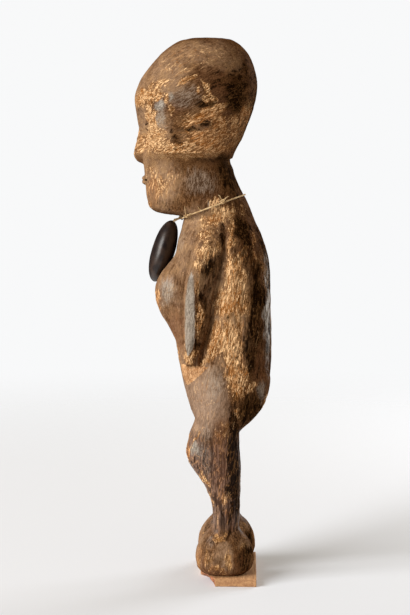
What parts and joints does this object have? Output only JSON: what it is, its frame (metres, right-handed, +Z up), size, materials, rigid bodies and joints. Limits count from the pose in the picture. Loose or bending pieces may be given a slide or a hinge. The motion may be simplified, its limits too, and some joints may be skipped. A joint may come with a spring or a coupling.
{
  "type": "carved wood female figure",
  "caption": "Standing female figure carved in one piece of wood, on a thin broken slab, with a large seed hung at the neck on a fibre string.",
  "frame": {"origin": "middle of the slab's underside", "axes": "+Z up, the figure faces -Y, its left side at +X"},
  "size_m": [0.0768, 0.102, 0.4],
  "materials": {
    "wood": "old handled hardwood, dark worn patina over tan wood",
    "pale_wood": "raw pale sawn wood with a rough reddish break",
    "seed": "smooth glossy dark brown seed coat",
    "fibre": "dry twisted beige plant fibre"
  },
  "bodies": {
    "root": {"base_slab": "pale_wood", "figure": "wood", "pendant": "seed", "neck_string": "fibre"}
  },
  "joints": []
}
